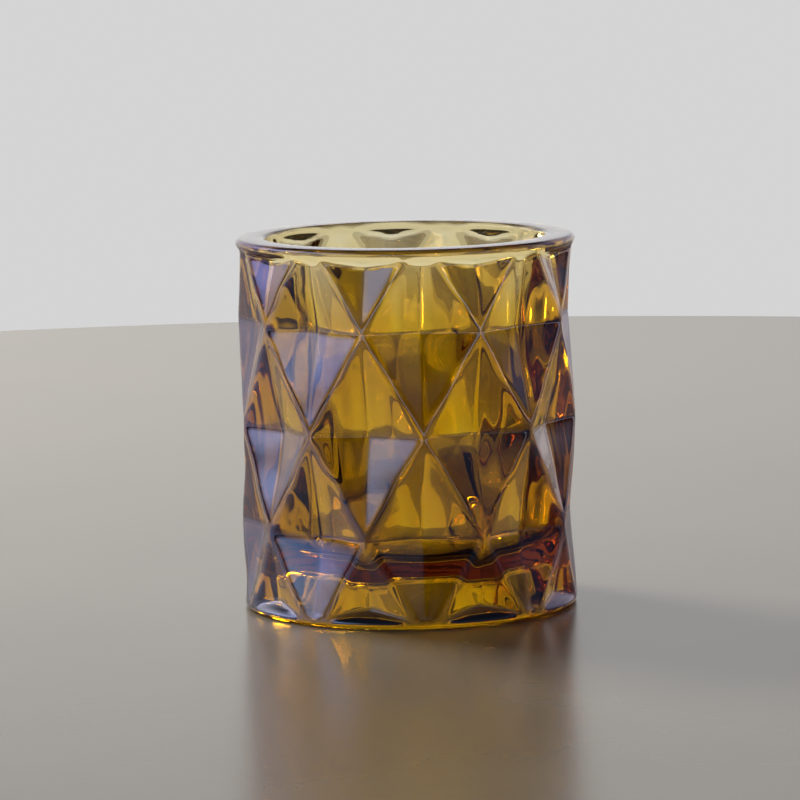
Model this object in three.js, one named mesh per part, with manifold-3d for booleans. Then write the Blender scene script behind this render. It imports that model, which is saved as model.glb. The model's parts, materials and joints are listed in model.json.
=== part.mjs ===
// Tealight holder: one piece of pressed glass, a tumbler with a raised floor, open at the top.
//
// The outer wall is covered with sunk diamonds. Their edges are straight ridges that run
// slantwise round the wall and cross at points on one cylinder, and the middle of each
// diamond is pressed in, so every diamond is four flat facets. The rows are staggered by
// half a diamond. A plain band closes the pattern under the rim and another above the foot.
// The well for the candle is a smooth round bore with a flat floor.
//
// Millimetres, +Z up. The origin is the middle of the underside, and a crossing point of the
// ridges faces -Y.

import Module from 'manifold-3d';
import * as THREE from 'three';
import { mergeVertices, toCreasedNormals } from 'three/addons/utils/BufferGeometryUtils.js';

// Whole object
const HEIGHT = 83;                 // table to the top of the rim
const RIDGE_RADIUS = 38;           // axis to the crossing points of the ridges

// Diamonds
const DIAMONDS_ROUND = 9;          // diamonds in one row round the wall
const DIAMOND_RISE = 22.6;         // height from one row of crossing points to the next
const DIAMOND_DEPTH = 4.6;         // how far the middle of a diamond is pressed in
const LOWEST_CROSSINGS = 19.4;     // table to the lowest full row of crossing points
const FACING_ROW = 1;              // the row that has a crossing point at -Y, counted from the lowest

// Rim and foot
const RIM_INSET = 0.2;             // how far the rim's band lies inside the crossing points
const RIM_BAND = 2.3;              // height of the rim's plain band
const RIM_ROUNDING = 1.1;          // radius of the rim's outer and inner edge
const FOOT_INSET = 0.6;            // how far the foot's band lies inside the crossing points
const FOOT_BAND = 1.6;             // height of the foot's plain band
const FOOT_ROUNDING = 1.0;         // radius of the foot's lower edge
const BAND_SLOPE = 0.9;            // rise for each millimetre that a band's slope goes in
const FOOT_INNER_ROUNDING = 0.6;   // radius of the foot's inner edge

// Hollow under the floor
const FOOT_RING = 6.9;             // glass round the hollow, from the foot's band to the hollow's wall
const HOLLOW_DRAFT = 1;            // how much smaller that is at the top of the hollow
const HOLLOW_CORNER = 1.5;         // radius of the corner at the top of the hollow
const FLOOR_GLASS = 2.3;           // thickness of the glass between the hollow and the well

// Well
const THINNEST_WALL = 2.2;         // glass left behind the middle of a diamond, at the mouth
const WELL_TAPER = 1.8;            // how much smaller the well's radius is at its floor
const FLOOR_THICKNESS = 12.5;      // table to the well's floor
const WELL_CORNER = 5;             // radius of the corner between the well's wall and floor

// Fineness and working values
const ROUND_STEPS = 72;            // flats round a turned shape
const ARC_STEPS = 4;               // flats in a rounded edge
const CORNER_STEPS = 6;            // flats in the well's corner
const CREASE_ANGLE = 12;           // degrees between two flats that are shaded as a sharp edge
const CUT_OVERRUN = 4;             // how far a cutting shape reaches past the glass

const rimRadius = RIDGE_RADIUS - RIM_INSET;
const footRadius = RIDGE_RADIUS - FOOT_INSET;
const hollowRadius = footRadius - FOOT_RING;
const mouthRadius = RIDGE_RADIUS - DIAMOND_DEPTH - THINNEST_WALL;
const wellFloorRadius = mouthRadius - WELL_TAPER;

const wasm = await Module();
wasm.setup();

// A solid from a closed three.js geometry.
function solidFrom(geometry) {
  geometry.deleteAttribute('normal');
  geometry.deleteAttribute('uv');
  const merged = mergeVertices(geometry, 1e-5);
  const mesh = new wasm.Mesh({
    numProp: 3,
    vertProperties: merged.getAttribute('position').array,
    triVerts: new Uint32Array(merged.getIndex().array),
  });
  return new wasm.Manifold(mesh);
}

// A three.js geometry from a solid, with its facets shaded flat and its turned shapes smooth.
function geometryFrom(solid) {
  const mesh = solid.getMesh();
  const geometry = new THREE.BufferGeometry();
  geometry.setAttribute('position', new THREE.Float32BufferAttribute(mesh.vertProperties, 3));
  geometry.setIndex(Array.from(mesh.triVerts));
  return toCreasedNormals(geometry, THREE.MathUtils.degToRad(CREASE_ANGLE));
}

// Points of an arc round (r, z), from one angle to another in degrees.
function arc(r, z, radius, from, to, steps) {
  const points = [];
  for (let i = 0; i <= steps; i += 1) {
    const angle = THREE.MathUtils.degToRad(from + (to - from) * i / steps);
    points.push(new THREE.Vector2(r + radius * Math.cos(angle), z + radius * Math.sin(angle)));
  }
  return points;
}

// A solid turned about Z from a profile of (radius, height) points, listed upwards on its
// outside. The profile starts and ends on the axis, or closes on itself.
function turned(profile) {
  const geometry = new THREE.LatheGeometry(profile, ROUND_STEPS);
  geometry.rotateX(Math.PI / 2);
  return solidFrom(geometry);
}

// The diamond lattice: a closed column whose side has one corner for each crossing point and
// one for the middle of each diamond, in alternating columns half a diamond apart.
function latticeColumn() {
  const columns = 2 * DIAMONDS_ROUND;
  const rowsBelow = Math.ceil((LOWEST_CROSSINGS + CUT_OVERRUN) / DIAMOND_RISE);
  const rowsAbove = Math.ceil((HEIGHT + CUT_OVERRUN - LOWEST_CROSSINGS) / DIAMOND_RISE);
  const rows = rowsBelow + rowsAbove + 1;
  const isCrossing = (row, column) => (row - rowsBelow + column + FACING_ROW) % 2 === 0;
  const positions = [];
  for (let row = 0; row < rows; row += 1) {
    const z = LOWEST_CROSSINGS + (row - rowsBelow) * DIAMOND_RISE;
    for (let column = 0; column < columns; column += 1) {
      const angle = -Math.PI / 2 + (column / columns) * 2 * Math.PI;
      const radius = isCrossing(row, column) ? RIDGE_RADIUS : RIDGE_RADIUS - DIAMOND_DEPTH;
      positions.push(radius * Math.cos(angle), radius * Math.sin(angle), z);
    }
  }
  const bottomMiddle = rows * columns;
  const topMiddle = bottomMiddle + 1;
  positions.push(0, 0, LOWEST_CROSSINGS - rowsBelow * DIAMOND_RISE);
  positions.push(0, 0, LOWEST_CROSSINGS + rowsAbove * DIAMOND_RISE);

  const triangles = [];
  const corner = (row, column) => row * columns + column % columns;
  for (let column = 0; column < columns; column += 1) {
    triangles.push(bottomMiddle, corner(0, column + 1), corner(0, column));
    triangles.push(topMiddle, corner(rows - 1, column), corner(rows - 1, column + 1));
    for (let row = 0; row < rows - 1; row += 1) {
      const lowerLeft = corner(row, column);
      const lowerRight = corner(row, column + 1);
      const upperLeft = corner(row + 1, column);
      const upperRight = corner(row + 1, column + 1);
      if (isCrossing(row, column)) {
        triangles.push(lowerLeft, lowerRight, upperRight, lowerLeft, upperRight, upperLeft);
      } else {
        triangles.push(lowerLeft, lowerRight, upperLeft, lowerRight, upperRight, upperLeft);
      }
    }
  }
  const geometry = new THREE.BufferGeometry();
  geometry.setAttribute('position', new THREE.Float32BufferAttribute(positions, 3));
  geometry.setIndex(triangles);
  return solidFrom(geometry);
}

// The space the glass may fill: a plain column with the rim's and the foot's rounded edges.
function outerLimit() {
  return turned([
    new THREE.Vector2(0, 0),
    ...arc(footRadius - FOOT_ROUNDING, FOOT_ROUNDING, FOOT_ROUNDING, -90, 0, ARC_STEPS),
    new THREE.Vector2(footRadius, FOOT_BAND),
    new THREE.Vector2(RIDGE_RADIUS + CUT_OVERRUN, FOOT_BAND + CUT_OVERRUN * BAND_SLOPE),
    new THREE.Vector2(RIDGE_RADIUS + CUT_OVERRUN, HEIGHT - RIM_BAND - CUT_OVERRUN * BAND_SLOPE),
    new THREE.Vector2(rimRadius, HEIGHT - RIM_BAND),
    ...arc(rimRadius - RIM_ROUNDING, HEIGHT - RIM_ROUNDING, RIM_ROUNDING, 0, 90, ARC_STEPS),
    new THREE.Vector2(0, HEIGHT),
  ]);
}

// The plain band under the rim, whose slope fills the top of the diamonds that it cuts off.
function rimBand() {
  const reach = DIAMOND_DEPTH + THINNEST_WALL;
  return turned([
    new THREE.Vector2(0, HEIGHT - RIM_BAND - reach * BAND_SLOPE),
    new THREE.Vector2(rimRadius - reach, HEIGHT - RIM_BAND - reach * BAND_SLOPE),
    new THREE.Vector2(rimRadius, HEIGHT - RIM_BAND),
    new THREE.Vector2(rimRadius, HEIGHT + CUT_OVERRUN),
    new THREE.Vector2(0, HEIGHT + CUT_OVERRUN),
  ]);
}

// The same for the foot.
function footBand() {
  const reach = DIAMOND_DEPTH + THINNEST_WALL;
  return turned([
    new THREE.Vector2(0, -CUT_OVERRUN),
    new THREE.Vector2(footRadius, -CUT_OVERRUN),
    new THREE.Vector2(footRadius, FOOT_BAND),
    new THREE.Vector2(footRadius - reach, FOOT_BAND + reach * BAND_SLOPE),
    new THREE.Vector2(0, FOOT_BAND + reach * BAND_SLOPE),
  ]);
}

// The well: flat floor, rounded corner, slightly tapered wall and a rounded mouth.
function well() {
  const lipRadius = mouthRadius + RIM_ROUNDING;
  const cornerTop = FLOOR_THICKNESS + WELL_CORNER;
  return turned([
    new THREE.Vector2(0, FLOOR_THICKNESS),
    ...arc(wellFloorRadius - WELL_CORNER, cornerTop, WELL_CORNER, -90, 0, CORNER_STEPS),
    ...arc(lipRadius, HEIGHT - RIM_ROUNDING, RIM_ROUNDING, 180, 90, ARC_STEPS),
    new THREE.Vector2(lipRadius, HEIGHT + CUT_OVERRUN),
    new THREE.Vector2(0, HEIGHT + CUT_OVERRUN),
  ]);
}

// The hollow in the underside, whose wall turns outwards into the foot's rounded inner edge.
function undersideHollow() {
  const top = FLOOR_THICKNESS - FLOOR_GLASS;
  const topRadius = hollowRadius - HOLLOW_DRAFT;
  const ringRadius = hollowRadius + FOOT_INNER_ROUNDING;
  return turned([
    new THREE.Vector2(0, -CUT_OVERRUN),
    new THREE.Vector2(ringRadius, -CUT_OVERRUN),
    ...arc(ringRadius, FOOT_INNER_ROUNDING, FOOT_INNER_ROUNDING, 270, 180, ARC_STEPS),
    ...arc(topRadius - HOLLOW_CORNER, top - HOLLOW_CORNER, HOLLOW_CORNER, 0, 90, ARC_STEPS),
    new THREE.Vector2(0, top),
  ]);
}

function glassBody() {
  const solid = latticeColumn()
    .add(rimBand())
    .add(footBand())
    .intersect(outerLimit())
    .subtract(well())
    .subtract(undersideHollow());
  const material = new THREE.MeshStandardMaterial({
    color: 0xb8900f,
    roughness: 0.05,
    metalness: 0.1,
  });
  const mesh = new THREE.Mesh(geometryFrom(solid), material);
  mesh.name = 'glass_body';
  return mesh;
}

const holder = new THREE.Group();
holder.add(glassBody());

export default holder;
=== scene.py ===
"""Tealight holder of pressed amber glass with a grey-blue lustre, on a plain pale table.

The frame gives the holder's box, and the surfaces below are worked out inside it as functions of
the turn round the axis and the height. Lengths are in millimetres until a mesh is made.
"""
import json
import math

import bpy
import numpy as np
from mathutils import Matrix, Vector


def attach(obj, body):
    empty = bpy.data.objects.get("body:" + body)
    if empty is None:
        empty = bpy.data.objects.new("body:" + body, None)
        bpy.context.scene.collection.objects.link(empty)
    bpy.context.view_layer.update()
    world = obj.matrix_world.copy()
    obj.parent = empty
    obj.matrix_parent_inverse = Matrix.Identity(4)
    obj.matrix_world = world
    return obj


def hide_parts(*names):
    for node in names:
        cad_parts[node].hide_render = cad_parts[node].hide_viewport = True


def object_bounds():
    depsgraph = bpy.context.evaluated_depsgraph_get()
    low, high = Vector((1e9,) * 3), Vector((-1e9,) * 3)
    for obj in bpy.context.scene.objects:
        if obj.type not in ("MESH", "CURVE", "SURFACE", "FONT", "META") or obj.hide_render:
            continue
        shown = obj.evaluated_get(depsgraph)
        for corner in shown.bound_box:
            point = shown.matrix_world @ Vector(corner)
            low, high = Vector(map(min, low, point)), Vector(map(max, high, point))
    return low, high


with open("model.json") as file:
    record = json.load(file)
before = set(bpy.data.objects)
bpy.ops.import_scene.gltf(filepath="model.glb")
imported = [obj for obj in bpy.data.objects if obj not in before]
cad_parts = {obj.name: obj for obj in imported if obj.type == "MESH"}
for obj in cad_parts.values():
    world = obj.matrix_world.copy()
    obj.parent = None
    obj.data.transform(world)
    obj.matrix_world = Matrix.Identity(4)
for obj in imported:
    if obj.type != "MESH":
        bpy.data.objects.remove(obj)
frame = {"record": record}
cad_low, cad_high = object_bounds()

MM = 0.001                       # metres in a millimetre

# The holder, from the frame
HEIGHT = cad_high.z / MM         # table to the top of the rim
RIDGE_RADIUS = cad_high.y / MM   # axis to the points where the ridges cross
MOUNTS = {m["name"]: m for m in frame["record"]["mounts"]}
FLOOR_HEIGHT = MOUNTS["well_floor"]["pos_m"][2] / MM   # table to the well's floor

# The diamonds
DIAMONDS_ROUND = 9               # in one row
DIAMOND_RISE = 22.6              # from one row of crossing points to the next
DIAMOND_DEPTH = 4.6              # how far the middle of a diamond is pressed in
FACING_CROSSING = 42.0           # height of the crossing point that faces -Y
RIDGE_ROUNDING = 1.15            # facets that differ by less than this round into each other
CREASE_SOFTNESS = 0.36           # spread of the Gaussian that rounds everything else

# Rim and foot
RIM_INSET = 0.2                  # how far the rim's band lies inside the crossing points
RIM_BAND = 2.0                   # height of the rim's plain band
RIM_ROUNDING = 1.0               # radius of the rim's outer and inner edge
RIM_SLOPE = 0.55                 # drop for each millimetre that the slope under the rim goes in
FOOT_INSET = 0.6                 # how far the foot's band lies inside the crossing points
FOOT_BAND = 1.6                  # height of the foot's plain band
FOOT_ROUNDING = 1.3              # radius of the foot's lower edge
FOOT_SLOPE = 0.9                 # rise for each millimetre that the slope over the foot goes in
BAND_BLEND = 0.7                 # width of the soft line where a band meets the diamonds
EDGE_OPENING = 8                 # degrees from level at which a rounded edge meets the wall

# Hollow under the floor
FOOT_RING = 6.9                  # glass round the hollow, from the foot's band to its wall
HOLLOW_DRAFT = 1.0               # how much narrower the hollow is at its top
HOLLOW_DEPTH = 10.2              # table to the top of the hollow
HOLLOW_CORNER = 1.5              # radius of the corner at the top of the hollow
FOOT_INNER_ROUNDING = 0.6        # radius of the foot's inner edge

# Well
THINNEST_WALL = 2.2              # glass behind the middle of a diamond, at the mouth
WELL_TAPER = 1.8                 # how much smaller the well's radius is at its floor
WELL_CORNER = 5.0                # radius of the corner between the well's wall and floor

# Unevenness of the pressing: seed, height, longest and shortest wave
WAVE_COUNT = 9                   # waves added together on each side
OUTER_WAVES = (3, 0.18, 26.0, 11.0)
WELL_WAVES = (7, 0.70, 30.0, 8.0)

# Fineness of the mesh
FACET_STEPS = 30                 # columns, and rows, across half a diamond
CREASE_STEP = 0.012              # the first and the last of them, as a share of the half diamond
HALF_DIAMONDS = 3                # tall, worked out above and below the facing crossing point
BORE_STEPS = 24                  # rows down the well
CEILING_RING = 0.5               # a row in the flat of the hollow, as a share of its radius
FLOOR_RINGS = (0.7, 0.3)         # rows in the flat of the well's floor, as shares of its radius
HOLLOW_CORNER_STEPS = 6          # steps of each rounded corner and edge
FOOT_INNER_STEPS = 4
FOOT_STEPS = 7
RIM_STEPS = 7
LIP_STEPS = 8
WELL_CORNER_STEPS = 8
CELL_SAMPLES = 256               # how finely one half diamond is worked out before that

COLUMNS = 2 * DIAMONDS_ROUND * FACET_STEPS
HALF_DIAMOND_TURN = math.pi / DIAMONDS_ROUND
STEPS = np.concatenate([[0], np.linspace(CREASE_STEP, 1 - CREASE_STEP, FACET_STEPS - 1)])
COLUMN_PLACE = np.arange(COLUMNS) // FACET_STEPS + np.tile(STEPS, 2 * DIAMONDS_ROUND)
TURN = -math.pi / 2 + COLUMN_PLACE * HALF_DIAMOND_TURN
RIM_RADIUS = RIDGE_RADIUS - RIM_INSET
FOOT_RADIUS = RIDGE_RADIUS - FOOT_INSET
HOLLOW_RADIUS = FOOT_RADIUS - FOOT_RING
MOUTH_RADIUS = RIDGE_RADIUS - DIAMOND_DEPTH - THINNEST_WALL
WELL_FLOOR_RADIUS = MOUTH_RADIUS - WELL_TAPER


def rise(degrees):
    """The height of a direction that stands so many degrees above level, as its sine."""
    return math.sin(math.radians(degrees))


# Glass
GLASS_IOR = 1.52
ABSORPTION = (32.0, 58.0, 150.0)   # per metre of glass, red, green and blue
DENSITY_MARGIN = 1.02            # density over the largest of them, which keeps the colour above 0
STAIN = [                        # what the outer skin lets through, by share of the height
    (0.74, (0.76, 0.54, 0.001)),
    (0.82, (0.85, 0.65, 0.04)),
    (0.88, (0.91, 0.79, 0.36)),
    (0.96, (0.95, 0.93, 0.86)),
]
STAIN_RAGGEDNESS = 4.0           # how far the stain's edges wander up and down
STRIAE_SCALE, STRIAE_DETAIL = 160.0, 3.0
GLASS_ROUGHNESS = 0.004
STRIAE_ROUGHNESS = 0.02          # added in the dull streaks
STREAKS = (0.5, 0.8)             # where the striae turn dull
RIPPLE_SCALE, RIPPLE_DETAIL = 120.0, 2.0
RIPPLE_STRENGTH, RIPPLE_DISTANCE = 0.12, 0.0006

# Lustre film on the outside
FILM_IOR = 2.0
FILM_THIN, FILM_THICK = 56.0, 152.0   # nanometres
FILM_SHARE, FILM_SWING = 0.5, 0.35    # least share of the thick film, and what a cloud adds
CLOUD_SCALE, CLOUD_DETAIL = 38.0, 2.0
CLOUD_EDGES = (0.3, 0.7)
FILM_START = (1.2, 1.8)          # outside the mouth's radius, where the film begins and is whole
FOOT_CLEAR = (0.3, 0.9)          # above the table, where the film begins and is whole

# Table
TABLE_RADIUS = 0.57
TABLE_POINTS = 128
TABLE_COLOURS = [(0.3, (0.14, 0.116, 0.086)), (0.7, (0.17, 0.143, 0.108))]
MOTTLE_SCALE, MOTTLE_DETAIL = 9.0, 5.0
TABLE_ROUGHNESS, MOTTLE_ROUGHNESS = 0.21, 0.04
TABLE_IOR = 1.42

# Room: strengths of its light, then where each part of it begins and ends. A direction's x, y
# and z are -1 to 1, with +Y behind the holder and -X at its left.
WALL_LIGHT = 0.66                # the wall behind, as it is seen
HIGH_WALL_LIGHT = 0.94           # the same wall above the table, as the glass sees it
HIGH_WALL_LEAN = 0.4             # how much brighter it is towards the left
ROOM_LIGHT = 0.10                # the room in front
WINDOW_LIGHT = 1.4               # added in the window
DARK_LIGHT = 0.04                # low in front
CEILING_LIGHT = 0.04
PLAIN_LIGHT = (1.0, 1.0, 1.0, 1.0)
DAYLIGHT = (0.95, 0.98, 1.04, 1.0)
TABLE_EDGE = (rise(-2), rise(-1))
SILL = (rise(1), rise(13))
WALL_TOP = (rise(22), rise(42))
LOW_WALL_SIDES = (0.35, 0.75)
WALL_SIDES = (-0.45, 0.5)
DARK_FRONT = (-0.97, -0.85)
WINDOW_SIDES = (0.5, 0.95)

# Key light, metres and watts
KEY_PLACE = (-0.55, 0.6, 0.66)
KEY_AIM = (0, 0, 0.04)
KEY_SIZE = (0.34, 0.34)
KEY_POWER = 15.0

# Camera, degrees and metres
VIEW_TURN = -5.1                 # how far it stands to the left of -Y
VIEW_RISE = 7.68                 # how far it stands above the middle of the holder
VIEW_DISTANCE = 0.999
VIEW_PITCH, VIEW_YAW, VIEW_ROLL = 0.21, -0.10, -1.03
AIM_HEIGHT = 0.042
LENS = 200.5                     # millimetres, as is the sensor's width
SENSOR_WIDTH = 36

# Light paths, long enough for light that crosses the glass many times
MOST_BOUNCES = 32
TRANSMISSION_BOUNCES = 28
GLOSSY_BOUNCES = 12


# ------------------------------------------------------------------ shapes
def diamond_cell():
    """Radius over one repeat of the pattern, two half-diamonds wide and two tall.

    Each half-diamond square holds one ridge along a diagonal, with a flat facet on each side of
    it. A flat facet that meets the ridge at radius R and the diamond's middle at radius M has
    radius R (1 + k v) / (1 + k u), with k = R / M - 1, u across and v up the square, and the
    surface is the soft minimum of the two facets, which rounds the ridge. A Gaussian then
    rounds the creases, and the mesh's own steps are read off by linear interpolation.
    """
    place = np.arange(2 * CELL_SAMPLES) / CELL_SAMPLES
    across, up = np.meshgrid(place, place)
    half = HALF_DIAMOND_TURN / 2
    swing = (across % 1 - 0.5) * HALF_DIAMOND_TURN
    u = 0.5 + np.tan(swing) / (2 * math.tan(half))
    v = up % 1
    leans_left = (np.floor(across) + np.floor(up)) % 2 == 1
    u = np.where(leans_left, 1 - u, u)
    k = RIDGE_RADIUS / (RIDGE_RADIUS - DIAMOND_DEPTH) - 1
    below = RIDGE_RADIUS * (1 + k * v) / (1 + k * u)
    above = RIDGE_RADIUS * (1 + k * (1 - v)) / (1 + k * (1 - u))
    radius = -softer_of(-below, -above, RIDGE_ROUNDING) * math.cos(half) / np.cos(swing)

    wave_across = np.fft.rfftfreq(len(place), HALF_DIAMOND_TURN * RIDGE_RADIUS / CELL_SAMPLES)
    wave_up = np.fft.fftfreq(len(place), DIAMOND_RISE / CELL_SAMPLES)
    wave = (wave_up[:, None] ** 2 + wave_across[None, :] ** 2) * (2 * math.pi) ** 2
    blur = np.exp(-wave * CREASE_SOFTNESS ** 2 / 2)
    radius = np.fft.irfft2(np.fft.rfft2(radius) * blur, s=radius.shape)
    steps = np.concatenate([STEPS, 1 + STEPS])
    closed = np.append(place, 2)
    radius = np.pad(radius, ((0, 1), (0, 1)), mode="wrap")
    radius = np.stack([np.interp(steps, closed, row) for row in radius])
    return np.stack([np.interp(steps, closed, column) for column in radius.T]).T


def softer_of(a, b, width):
    """The larger of two values, with a soft change over width: the polynomial smooth maximum."""
    share = np.clip(0.5 + (a - b) / (2 * width), 0, 1)
    return b + (a - b) * share + width * share * (1 - share)


def waves(height, seed, size, longest, shortest):
    """Uneven pressing: a sum of sine waves over the turn and the height, about size tall.

    Each wave has a whole number of crests round the axis, so that it closes on itself, a pitch
    up the wall and a start of its own, drawn in a fixed order from the seed.
    """
    draw = np.random.default_rng(seed)
    total = 0
    for pitch in np.geomspace(longest, shortest, WAVE_COUNT):
        heading, start = draw.uniform(0, 2 * math.pi, 2)
        crests = round(2 * math.pi * RIDGE_RADIUS / pitch * math.cos(heading))
        climb = 2 * math.pi / pitch * math.sin(heading)
        total = total + np.sin(crests * TURN[None, :] + climb * height + start) * pitch / longest
    return total * size / math.sqrt(WAVE_COUNT)


def outer_wall():
    """Radius and height of the patterned wall, rows upwards, from the foot's band to the rim's.

    The pattern is the diamond cell repeated, with the waves of the outside added, and its rows
    past the rim and the foot are left out. A band's slope is a cone, and the wall is the soft
    maximum of the pattern and the two cones, kept inside the bands' own radii.
    """
    halves = np.arange(-HALF_DIAMONDS, HALF_DIAMONDS)
    row = (halves[:, None] * FACET_STEPS + np.arange(FACET_STEPS)).ravel()
    z = FACING_CROSSING + ((halves[:, None] + STEPS).ravel()) * DIAMOND_RISE
    kept = (z > FOOT_ROUNDING) & (z < HEIGHT - RIM_ROUNDING)
    row, z = row[kept], z[kept]
    pattern = np.tile(diamond_cell(), (1, DIAMONDS_ROUND))[row % (2 * FACET_STEPS)]
    rim_cone = RIM_RADIUS - np.maximum(HEIGHT - RIM_BAND - z, 0) / RIM_SLOPE
    foot_cone = FOOT_RADIUS - np.maximum(z - FOOT_BAND, 0) / FOOT_SLOPE
    pattern = pattern + waves(z[:, None], *OUTER_WAVES)
    radius = softer_of(pattern, rim_cone[:, None], BAND_BLEND)
    radius = softer_of(radius, foot_cone[:, None], BAND_BLEND)
    near_rim = np.clip((z - (HEIGHT - 2 * RIM_BAND)) / RIM_BAND, 0, 1)
    near_foot = np.clip((2 * FOOT_BAND - z) / FOOT_BAND, 0, 1)
    limit = RIDGE_RADIUS - RIM_INSET * near_rim - FOOT_INSET * near_foot
    radius = np.minimum(radius, limit[:, None])
    heights = np.repeat(z[:, None], COLUMNS, axis=1)
    leans_left = (row[:, None] // FACET_STEPS + np.arange(COLUMNS) // FACET_STEPS) % 2 == 1
    return radius, heights, leans_left


def arc_rows(radius, height, size, start, end, steps):
    """Rows of an arc in the profile: radius + size cos a and height + size sin a."""
    angle = np.radians(np.linspace(start, end, steps + 1))[:, None]
    return radius + size * np.cos(angle), height + size * np.sin(angle)


def level_rows(profile):
    """Rows of a turned profile, from a list of (radius, height) points."""
    points = np.array(profile, float)
    return points[:, :1], points[:, 1:]


def glass_rows():
    """All rows of the glass from the middle of the underside, up the outside and down the well.

    The well's wall is a cone with its own waves, which fade to nothing at both ends as the
    square root of sin(pi s), with s the share of the way down.
    """
    hollow_top = HOLLOW_RADIUS - HOLLOW_DRAFT
    ceiling = level_rows([(hollow_top * CEILING_RING, HOLLOW_DEPTH)])
    cove_radius = hollow_top - HOLLOW_CORNER
    cove_height = HOLLOW_DEPTH - HOLLOW_CORNER
    cove = arc_rows(cove_radius, cove_height, HOLLOW_CORNER, 90, 0, HOLLOW_CORNER_STEPS)
    ring_radius = HOLLOW_RADIUS + FOOT_INNER_ROUNDING
    inner = FOOT_INNER_ROUNDING
    ring = arc_rows(ring_radius, inner, inner, 180, 270, FOOT_INNER_STEPS)
    foot_radius = FOOT_RADIUS - FOOT_ROUNDING
    foot = arc_rows(foot_radius, FOOT_ROUNDING, FOOT_ROUNDING, -90, -EDGE_OPENING, FOOT_STEPS)
    wall_radius, wall_height, leans_left = outer_wall()
    wall_top = HEIGHT - RIM_ROUNDING
    rim = arc_rows(RIM_RADIUS - RIM_ROUNDING, wall_top, RIM_ROUNDING, EDGE_OPENING, 90, RIM_STEPS)
    lip = arc_rows(MOUTH_RADIUS + RIM_ROUNDING, wall_top, RIM_ROUNDING, 90, 180, LIP_STEPS)
    corner_radius = WELL_FLOOR_RADIUS - WELL_CORNER
    wall_foot = FLOOR_HEIGHT + WELL_CORNER
    corner = arc_rows(corner_radius, wall_foot, WELL_CORNER, 0, -90, WELL_CORNER_STEPS)
    share = np.linspace(0, 1, BORE_STEPS)[1:-1, None]
    bore_height = wall_top + share * (wall_foot - wall_top)
    fade = np.sin(math.pi * share) ** 0.5
    bore_radius = MOUTH_RADIUS - share * WELL_TAPER + fade * waves(bore_height, *WELL_WAVES)
    bore = (bore_radius, bore_height)
    floor = level_rows([(corner_radius * ring, FLOOR_HEIGHT) for ring in FLOOR_RINGS])
    groups = [ceiling, cove, ring, foot, (wall_radius, wall_height), rim, lip, bore, corner, floor]
    radius = np.vstack([np.broadcast_to(r, (len(r), COLUMNS)) for r, z in groups])
    height = np.vstack([np.broadcast_to(z, (len(z), COLUMNS)) for r, z in groups])
    first = sum(len(r) for r, z in groups[:4])
    left = np.zeros(radius.shape, bool)
    left[first:first + len(wall_radius)] = leans_left
    return radius, height, left


def closed_turned_mesh(name, radius, height, leans_left, ends):
    """A closed mesh from rows of radius and height round the axis, with a point at each end.

    Each square of the grid is two triangles, cut along the diagonal that leans the way the ridge
    beside it leans, so that a ridge is one straight line of edges.
    """
    rows, columns = radius.shape
    x, y = radius * np.cos(TURN), radius * np.sin(TURN)
    ring_points = np.stack([x, y, height], axis=-1).reshape(-1, 3)
    points = np.vstack([ring_points, [[0, 0, ends[0]], [0, 0, ends[1]]]]) * MM
    index = np.arange(rows * columns).reshape(rows, columns)
    a, b = index[:-1], np.roll(index[:-1], -1, axis=1)
    c, d = np.roll(index[1:], -1, axis=1), index[1:]
    left = leans_left[:-1][..., None]
    first = np.where(left, np.stack([a, b, d], -1), np.stack([a, b, c], -1))
    second = np.where(left, np.stack([b, c, d], -1), np.stack([a, c, d], -1))
    low, high = index[0], index[-1]
    start, end = rows * columns, rows * columns + 1
    low_fan = np.stack([np.roll(low, -1), low, np.full(columns, start)], -1)
    high_fan = np.stack([high, np.roll(high, -1), np.full(columns, end)], -1)
    faces = np.vstack([first.reshape(-1, 3), second.reshape(-1, 3), low_fan, high_fan])
    mesh = bpy.data.meshes.new(name)
    mesh.from_pydata(points.tolist(), [], faces.tolist())
    mesh.polygons.foreach_set("use_smooth", np.ones(len(faces), bool))
    mesh.update()
    piece = bpy.data.objects.new(name, mesh)
    bpy.context.scene.collection.objects.link(piece)
    return piece


# ------------------------------------------------------------------ materials
class Term:
    """A shader value that adds Math nodes to its tree when it is used in an expression."""

    def __init__(self, shader, socket):
        self.shader = shader
        self.socket = socket

    def math(self, operation, *values):
        sockets = dict(enumerate(values))
        return self.shader.node("ShaderNodeMath", {"operation": operation}, sockets)

    def __add__(self, other):
        return self.math("ADD", self, other)

    def __radd__(self, other):
        return self.math("ADD", other, self)

    def __sub__(self, other):
        return self.math("SUBTRACT", self, other)

    def __rsub__(self, other):
        return self.math("SUBTRACT", other, self)

    def __mul__(self, other):
        return self.math("MULTIPLY", self, other)

    def __rmul__(self, other):
        return self.math("MULTIPLY", other, self)

    def __truediv__(self, other):
        return self.math("DIVIDE", self, other)

    def __rtruediv__(self, other):
        return self.math("DIVIDE", other, self)

    def __pow__(self, other):
        return self.math("POWER", self, other)

    def __rpow__(self, other):
        return self.math("POWER", other, self)

    def between(self, low, high):
        """0 below low, 1 above high and a smooth change in between."""
        sockets = {"Value": self, "From Min": low, "From Max": high, "To Min": 0.0, "To Max": 1.0}
        return self.shader.node("ShaderNodeMapRange", {"interpolation_type": "SMOOTHSTEP"}, sockets)


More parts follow.
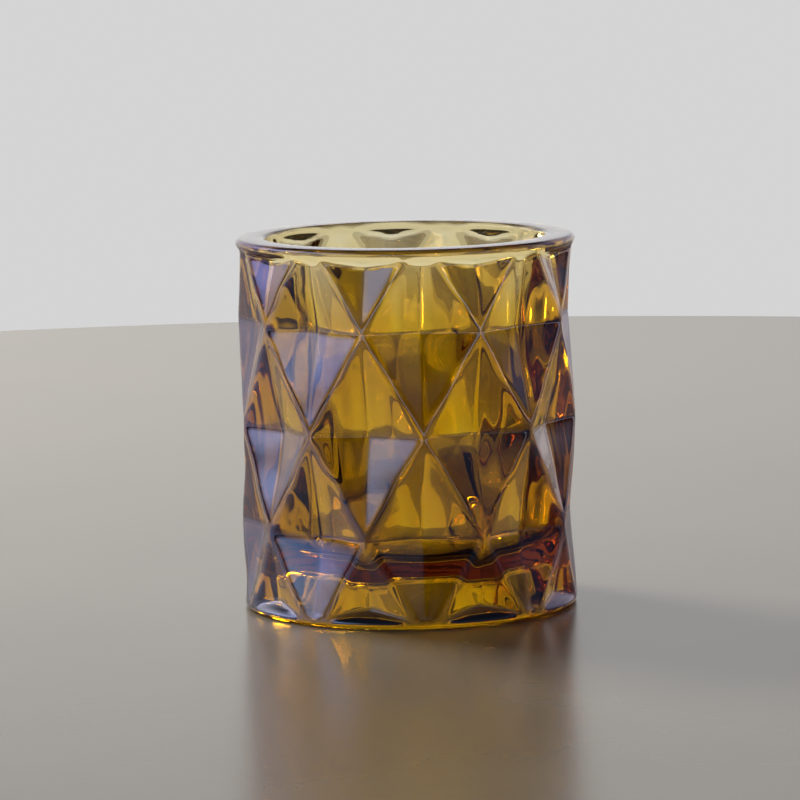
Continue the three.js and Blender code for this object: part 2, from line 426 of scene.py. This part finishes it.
class Shader:
    """A material or a world whose node tree is written as Python expressions."""

    def __init__(self, owner):
        self.owner = owner
        owner.use_nodes = True
        self.tree = owner.node_tree
        self.tree.nodes.clear()

    def node(self, kind, settings=None, sockets=None, output=0):
        """Adds one node: its settings, a ramp's stops among them, then its sockets' values or links.

        It gives back one of the node's outputs, where the node has any.
        """
        node = self.tree.nodes.new(kind)
        for key, value in (settings or {}).items():
            if key == "stops":
                ramp = node.color_ramp.elements
                while len(ramp) < len(value):
                    ramp.new(1.0)
                for stop, (place, colour) in zip(ramp, value):
                    stop.position, stop.color = place, (*colour, 1.0)
            else:
                setattr(node, key, value)
        for key, value in (sockets or {}).items():
            if isinstance(value, Term):
                self.tree.links.new(value.socket, node.inputs[key])
            else:
                node.inputs[key].default_value = value
        return Term(self, node.outputs[output]) if node.outputs else None

    def place(self):
        """The point on the piece, in metres."""
        return self.node("ShaderNodeTexCoord", output="Object")

    def split(self, vector):
        """The x, y and z of a vector."""
        node = self.node("ShaderNodeSeparateXYZ", None, {0: vector}).socket.node
        return [Term(self, socket) for socket in node.outputs]

    def noise(self, place, scale, detail):
        """A cloudy value, mostly between 0.3 and 0.7, with so many lumps to a metre."""
        sockets = {"Vector": place, "Scale": scale, "Detail": detail}
        return self.node("ShaderNodeTexNoise", None, sockets)

    def finish(self, kind="ShaderNodeOutputMaterial", **sockets):
        """Closes the tree with its output node, and gives the material or world back."""
        self.node(kind, None, sockets)
        return self.owner


def glass_surface(shader, tint, roughness, normal, film_nm):
    """A clear glass surface, bare or under a film of the lustre."""
    sockets = {
        "Base Color": tint,
        "Roughness": roughness,
        "IOR": GLASS_IOR,
        "Transmission Weight": 1.0,
        "Normal": normal,
        "Thin Film Thickness": film_nm,
        "Thin Film IOR": FILM_IOR,
    }
    return shader.node("ShaderNodeBsdfPrincipled", None, sockets)


def lustred_amber_glass():
    """Amber glass coloured in its depth, with a lustre film on the outside only."""
    shader = Shader(bpy.data.materials.new("lustred_amber_glass"))
    place = shader.place()
    x, y, z = shader.split(place)
    from_axis = (x * x + y * y) ** 0.5
    film_low, film_high = FILM_START
    outside = from_axis.between((MOUTH_RADIUS + film_low) * MM, (MOUTH_RADIUS + film_high) * MM)
    foot_low, foot_high = FOOT_CLEAR
    off_the_table = z.between(foot_low * MM, foot_high * MM)
    clouds = shader.noise(place, CLOUD_SCALE, CLOUD_DETAIL)
    striae = shader.noise(place, STRIAE_SCALE, STRIAE_DETAIL)
    ripple = shader.noise(place, RIPPLE_SCALE, RIPPLE_DETAIL)
    height = (z + (striae - 0.5) * (STAIN_RAGGEDNESS * MM)) / (HEIGHT * MM)
    stain = shader.node("ShaderNodeValToRGB", {"stops": STAIN}, {"Fac": height})
    roughness = GLASS_ROUGHNESS + striae.between(*STREAKS) * STRIAE_ROUGHNESS
    bump = {"Strength": RIPPLE_STRENGTH, "Distance": RIPPLE_DISTANCE, "Height": ripple}
    normal = shader.node("ShaderNodeBump", None, bump)
    bare = glass_surface(shader, (1, 1, 1, 1), roughness, normal, 0.0)
    thin = glass_surface(shader, stain, roughness, normal, FILM_THIN)
    thick = glass_surface(shader, stain, roughness, normal, FILM_THICK)
    thick_share = FILM_SHARE + clouds.between(*CLOUD_EDGES) * FILM_SWING
    film = shader.node("ShaderNodeMixShader", None, {0: thick_share, 1: thin, 2: thick})
    under_film = outside * off_the_table
    surface = shader.node("ShaderNodeMixShader", None, {0: under_film, 1: bare, 2: film})
    density = max(ABSORPTION) * DENSITY_MARGIN
    let_through = [1 - a / density for a in ABSORPTION]
    absorbing = {"Color": (*let_through, 1.0), "Density": density}
    depth = shader.node("ShaderNodeVolumeAbsorption", None, absorbing)
    return shader.finish(Surface=surface, Volume=depth)


def table_finish():
    """A plain pale table top with a dull sheen."""
    shader = Shader(bpy.data.materials.new("pale_table"))
    place = shader.place()
    mottle = shader.noise(place, MOTTLE_SCALE, MOTTLE_DETAIL)
    colour = shader.node("ShaderNodeValToRGB", {"stops": TABLE_COLOURS}, {"Fac": mottle})
    roughness = TABLE_ROUGHNESS + mottle * MOTTLE_ROUGHNESS
    sockets = {"Base Color": colour, "Roughness": roughness, "IOR": TABLE_IOR}
    surface = shader.node("ShaderNodeBsdfPrincipled", None, sockets)
    return shader.finish(Surface=surface)


# ------------------------------------------------------------------ the holder
glass = closed_turned_mesh("pressed_glass", *glass_rows(), ends=(HOLLOW_DEPTH, FLOOR_HEIGHT))
glass.data.materials.append(lustred_amber_glass())
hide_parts("glass_body")
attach(glass, "root")


# ------------------------------------------------------------------ table, light and camera
def table_top():
    """A round flat table top, as one disc."""
    turn = np.linspace(0, 2 * math.pi, TABLE_POINTS, endpoint=False)
    points = np.stack([np.cos(turn), np.sin(turn), 0 * turn], -1) * TABLE_RADIUS
    mesh = bpy.data.meshes.new("table_top")
    mesh.from_pydata(points.tolist(), [], [list(range(len(turn)))])
    top = bpy.data.objects.new("table_top", mesh)
    bpy.context.scene.collection.objects.link(top)
    mesh.materials.append(table_finish())


def soft_light(name, place, aim, size, power):
    """A rectangular soft light at a place, turned to face its aim and left out of reflections."""
    data = bpy.data.lights.new(name, "AREA")
    data.shape = "RECTANGLE"
    data.size, data.size_y = size
    data.energy = power
    lamp = bpy.data.objects.new(name, data)
    lamp.location = place
    lamp.visible_glossy = False
    lamp.rotation_euler = (Vector(aim) - Vector(place)).to_track_quat("-Z", "Y").to_euler()
    bpy.context.scene.collection.objects.link(lamp)


def studio_world():
    """A pale wall behind, a bright window on the left, a dark room in front and a dark ceiling.

    Below the table's edge every direction has the wall's own light, which is the plain
    background. Above it, the light runs from the low room to the high one over the sill's
    height, and then down to the ceiling's.
    """
    world = bpy.data.worlds.new("studio")
    bpy.context.scene.world = world
    shader = Shader(world)
    x, y, z = shader.split(shader.node("ShaderNodeTexCoord", output="Generated"))
    low = DARK_LIGHT + y.between(*LOW_WALL_SIDES) * (HIGH_WALL_LIGHT - DARK_LIGHT)
    wall = HIGH_WALL_LIGHT - HIGH_WALL_LEAN * x
    high = ROOM_LIGHT + y.between(*WALL_SIDES) * (wall - ROOM_LIGHT)
    window = (-1 * x).between(*WINDOW_SIDES)
    high = high * y.between(*DARK_FRONT) + window * WINDOW_LIGHT
    room = low + z.between(*SILL) * (high - low)
    above = room + z.between(*WALL_TOP) * (CEILING_LIGHT - room)
    light = WALL_LIGHT + z.between(*TABLE_EDGE) * (above - WALL_LIGHT)
    daylight = window * z.between(*SILL)
    tint = {0: daylight, 6: PLAIN_LIGHT, 7: DAYLIGHT}
    colour = shader.node("ShaderNodeMix", {"data_type": "RGBA"}, tint, output=2)
    plain = shader.node("ShaderNodeBackground", None, {"Color": colour, "Strength": light})
    shader.finish("ShaderNodeOutputWorld", Surface=plain)


def camera():
    """A long lens that looks down by VIEW_RISE less VIEW_PITCH, turned and rolled a little."""
    data = bpy.data.cameras.new("camera")
    data.lens = LENS
    data.sensor_width = SENSOR_WIDTH
    cam = bpy.data.objects.new("camera", data)
    bpy.context.scene.collection.objects.link(cam)
    turn, climb = math.radians(VIEW_TURN), math.radians(VIEW_RISE)
    level = math.cos(climb)
    back = Vector((math.sin(turn) * level, -math.cos(turn) * level, math.sin(climb)))
    pitch = math.radians(VIEW_PITCH - VIEW_RISE)
    yaw = math.radians(VIEW_YAW) - turn
    level = math.cos(pitch)
    ahead = Vector((math.sin(yaw) * level, math.cos(yaw) * level, math.sin(pitch)))
    right = Vector((math.cos(yaw), -math.sin(yaw), 0))
    up = right.cross(ahead)
    roll = math.radians(VIEW_ROLL)
    across = right * math.cos(roll) + up * math.sin(roll)
    above = up * math.cos(roll) - right * math.sin(roll)
    turned = Matrix((across, above, -ahead)).transposed().to_4x4()
    stand = Vector((0, 0, AIM_HEIGHT)) + back * VIEW_DISTANCE
    cam.matrix_world = Matrix.Translation(stand) @ turned
    bpy.context.scene.camera = cam


table_top()
studio_world()
soft_light("key", KEY_PLACE, KEY_AIM, KEY_SIZE, KEY_POWER)
camera()

scene = bpy.context.scene
scene.view_settings.view_transform = "Standard"
scene.cycles.max_bounces = MOST_BOUNCES
scene.cycles.transmission_bounces = TRANSMISSION_BOUNCES
scene.cycles.glossy_bounces = GLOSSY_BOUNCES
